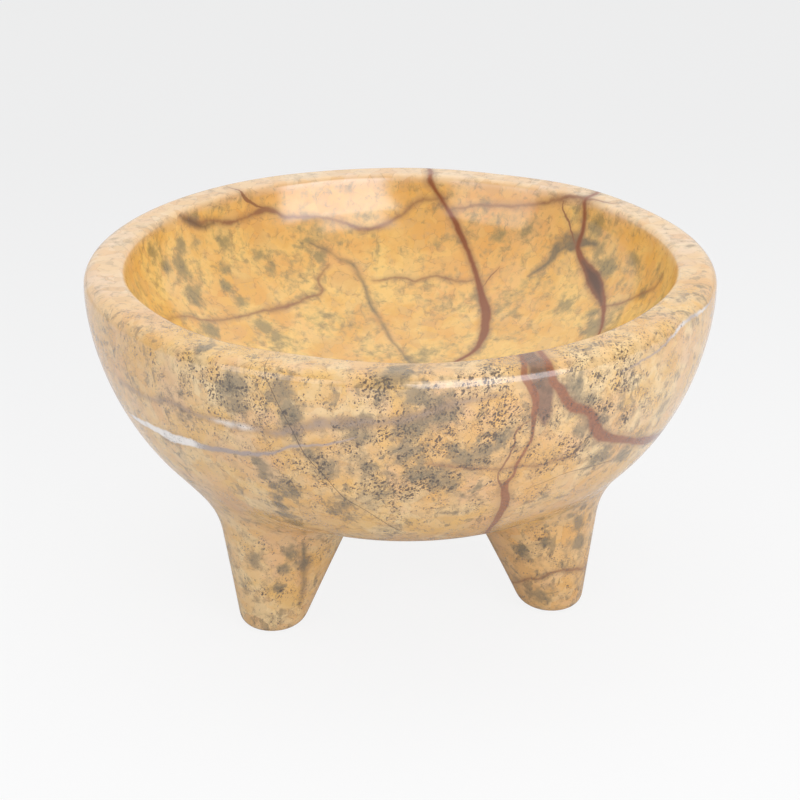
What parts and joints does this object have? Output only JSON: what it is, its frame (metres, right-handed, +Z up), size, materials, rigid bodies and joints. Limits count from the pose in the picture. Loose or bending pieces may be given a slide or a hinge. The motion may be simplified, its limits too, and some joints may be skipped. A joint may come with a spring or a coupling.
{
  "type": "molcajete",
  "caption": "Round, thick-walled mortar bowl of polished golden marble on short tapered legs, carved from solid stone, for grinding and serving salsa and spices.",
  "frame": {"origin": "on the bowl's axis, at the level of the floor that the feet stand on", "axes": "+Z up along the bowl's axis; +Y towards the back, where the single back leg stands; +X to the right"},
  "size_m": [0.16, 0.16, 0.09],
  "materials": {
    "stone": "polished golden-yellow marble with rust-brown and grey-green veins"
  },
  "bodies": {
    "root": {"bowl": "stone", "leg_front_left": "stone", "leg_front_right": "stone", "leg_back": "stone"}
  },
  "joints": []
}
